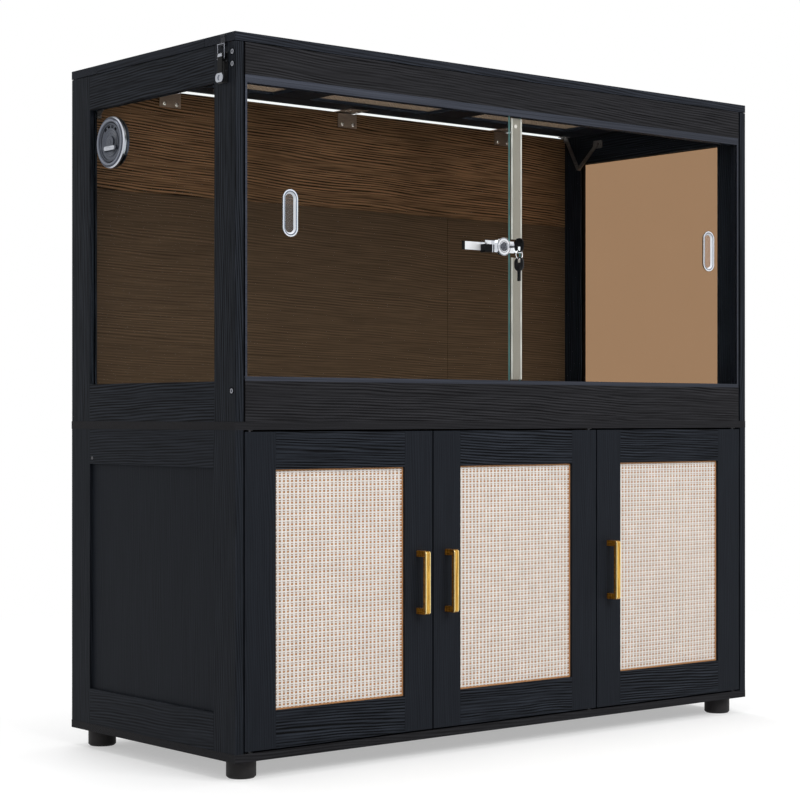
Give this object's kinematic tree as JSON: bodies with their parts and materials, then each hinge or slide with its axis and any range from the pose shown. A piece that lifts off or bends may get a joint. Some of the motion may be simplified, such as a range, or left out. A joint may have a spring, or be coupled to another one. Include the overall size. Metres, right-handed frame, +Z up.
{
  "type": "terrarium cabinet",
  "caption": "Glazed wooden terrarium with sliding glass fronts, ratchet lock, side vent and hinged mesh lid, on a cupboard base with woven-panel doors and round feet.",
  "frame": {"origin": "centre of the bounding box at floor level, under the feet", "axes": "+Z up, front with the doors towards -Y, +X to the right seen from the front"},
  "size_m": [1.217, 0.562, 1.172],
  "materials": {
    "black_wood": "satin black paint over open grain",
    "inner_wood": "dark stained boards",
    "foot_plastic": "moulded black",
    "alloy": "satin anodised dark grey",
    "vent_alloy": "satin silver",
    "glass": "clear float glass",
    "clear_plastic": "clear",
    "bolt_steel": "zinc plated",
    "hinge_steel": "satin nickel",
    "latch_metal": "black plated",
    "latch_wire": "bright wire",
    "chrome": "polished",
    "key_plastic": "moulded black",
    "brass": "satin gold",
    "weave": "cream woven cane",
    "mesh": "black wire"
  },
  "bodies": {
    "root": {"feet": "foot_plastic", "bottom_board": "black_wood", "base_side_frames": "black_wood", "base_side_panels": "black_wood", "base_back_panels": "inner_wood", "base_divider": "inner_wood", "base_shelves": "inner_wood", "shelf_pins": "bolt_steel", "terrarium_floor": "black_wood", "upper_side_frames": "black_wood", "side_glass": "glass", "back_upper_plank": "inner_wood", "back_lower_boards": "inner_wood", "header_board": "black_wood", "apron_board": "black_wood", "top_track": "alloy", "bottom_track": "alloy", "side_channels": "alloy", "frame_bolts": "bolt_steel", "vent_ring": "vent_alloy", "lid_hinge_lower_leaves": "hinge_steel", "lid_hinge_pins": "hinge_steel", "stay_side_brackets": "hinge_steel", "latch_bases": "latch_metal", "door_pivot_bushes": "bolt_steel"},
    "vent_dial": {"vent_dial": "vent_alloy"},
    "lid": {"lid_frame": "black_wood", "lid_mesh": "mesh", "lid_hinge_upper_leaves": "hinge_steel", "latch_catches": "latch_wire", "stay_lid_brackets": "hinge_steel"},
    "stay_lower_arms": {"stay_lower_arms": "hinge_steel"},
    "stay_upper_arms": {"stay_upper_arms": "hinge_steel"},
    "latch_lever_left": {"latch_lever_left": "latch_metal"},
    "latch_bail_left": {"latch_bail_left": "latch_wire"},
    "latch_lever_right": {"latch_lever_right": "latch_metal"},
    "latch_bail_right": {"latch_bail_right": "latch_wire"},
    "left_glass_door": {"left_pane": "glass", "left_pull": "clear_plastic", "seal_strip": "clear_plastic", "ratchet_bar": "chrome"},
    "right_glass_door": {"right_pane": "glass", "right_pull": "clear_plastic"},
    "lock": {"lock_body": "chrome"},
    "lock_core": {"lock_cylinder": "chrome", "key": "key_plastic"},
    "key_ring": {"key_ring": "hinge_steel"},
    "spare_key": {"spare_key": "key_plastic"},
    "door_1": {"door_1_frame": "black_wood", "door_1_panel": "weave", "door_1_handle": "brass", "door_1_pivots": "bolt_steel"},
    "door_2": {"door_2_frame": "black_wood", "door_2_panel": "weave", "door_2_handle": "brass", "door_2_pivots": "bolt_steel"},
    "door_3": {"door_3_frame": "black_wood", "door_3_panel": "weave", "door_3_handle": "brass", "door_3_pivots": "bolt_steel"}
  },
  "joints": [
    {"name": "lid_hinge", "type": "hinge", "parent": "root", "child": "lid", "pos_m": [0, 0.278, 1.155], "axis": [-1, 0, 0], "range_deg": [0, 70]},
    {"name": "stay_lower_pivot", "type": "hinge", "parent": "root", "child": "stay_lower_arms", "pos_m": [0, 0.164, 1.135], "axis": [-1, 0, 0], "range_deg": [-30, 0]},
    {"name": "stay_upper_pivot", "type": "hinge", "parent": "lid", "child": "stay_upper_arms", "pos_m": [0, 0.25, 1.151], "axis": [-1, 0, 0], "range_deg": [-80, 0]},
    {"name": "latch_left", "type": "hinge", "parent": "root", "child": "latch_lever_left", "pos_m": [-0.6045, -0.188, 1.138], "axis": [0, 1, 0], "range_deg": [0, 150]},
    {"name": "latch_left_bail", "type": "hinge", "parent": "latch_lever_left", "child": "latch_bail_left", "pos_m": [-0.6045, -0.188, 1.132], "axis": [0, 1, 0], "range_deg": [-150, 0]},
    {"name": "latch_right", "type": "hinge", "parent": "root", "child": "latch_lever_right", "pos_m": [0.6045, -0.188, 1.138], "axis": [0, -1, 0], "range_deg": [0, 150]},
    {"name": "latch_right_bail", "type": "hinge", "parent": "latch_lever_right", "child": "latch_bail_right", "pos_m": [0.6045, -0.188, 1.132], "axis": [0, -1, 0], "range_deg": [-150, 0]},
    {"name": "vent_turn", "type": "hinge", "parent": "root", "child": "vent_dial", "pos_m": [-0.594, 0.1535, 1.037], "axis": [-1, 0, 0], "range_deg": [0, 90]},
    {"name": "left_glass_slide", "type": "slide", "parent": "root", "child": "left_glass_door", "axis": [1, 0, 0], "range_m": [0, 0.556]},
    {"name": "right_glass_slide", "type": "slide", "parent": "root", "child": "right_glass_door", "axis": [-1, 0, 0], "range_m": [0, 0.39]},
    {"name": "lock_slide", "type": "slide", "parent": "right_glass_door", "child": "lock", "axis": [-1, 0, 0], "range_m": [0, 0.106]},
    {"name": "key_turn", "type": "hinge", "parent": "lock", "child": "lock_core", "pos_m": [-0.043, -0.226, 0.8645], "axis": [0, 1, 0], "range_deg": [0, 90]},
    {"name": "key_ring_hang", "type": "hinge", "parent": "lock_core", "child": "key_ring", "pos_m": [-0.043, -0.27, 0.8535], "axis": [0, 1, 0], "range_deg": [-90, 0]},
    {"name": "spare_key_swing", "type": "hinge", "parent": "key_ring", "child": "spare_key", "pos_m": [-0.043, -0.27, 0.8408], "axis": [1, 0, 0], "range_deg": [-30, 30]},
    {"name": "door_1_hinge", "type": "hinge", "parent": "root", "child": "door_1", "pos_m": [-0.5685, -0.213, 0.2965], "axis": [0, 0, -1], "range_deg": [0, 90]},
    {"name": "door_2_hinge", "type": "hinge", "parent": "root", "child": "door_2", "pos_m": [0.17983, -0.213, 0.2965], "axis": [0, 0, 1], "range_deg": [0, 90]},
    {"name": "door_3_hinge", "type": "hinge", "parent": "root", "child": "door_3", "pos_m": [0.5685, -0.213, 0.2965], "axis": [0, 0, 1], "range_deg": [0, 90]}
  ],
  "couplings": [
    {"joint": "stay_lower_pivot", "follows": "lid_hinge", "ratio": -0.3717},
    {"joint": "stay_upper_pivot", "follows": "lid_hinge", "ratio": -1.0605},
    {"joint": "latch_left_bail", "follows": "latch_left", "ratio": -1},
    {"joint": "latch_right_bail", "follows": "latch_right", "ratio": -1},
    {"joint": "key_ring_hang", "follows": "key_turn", "ratio": -1}
  ]
}
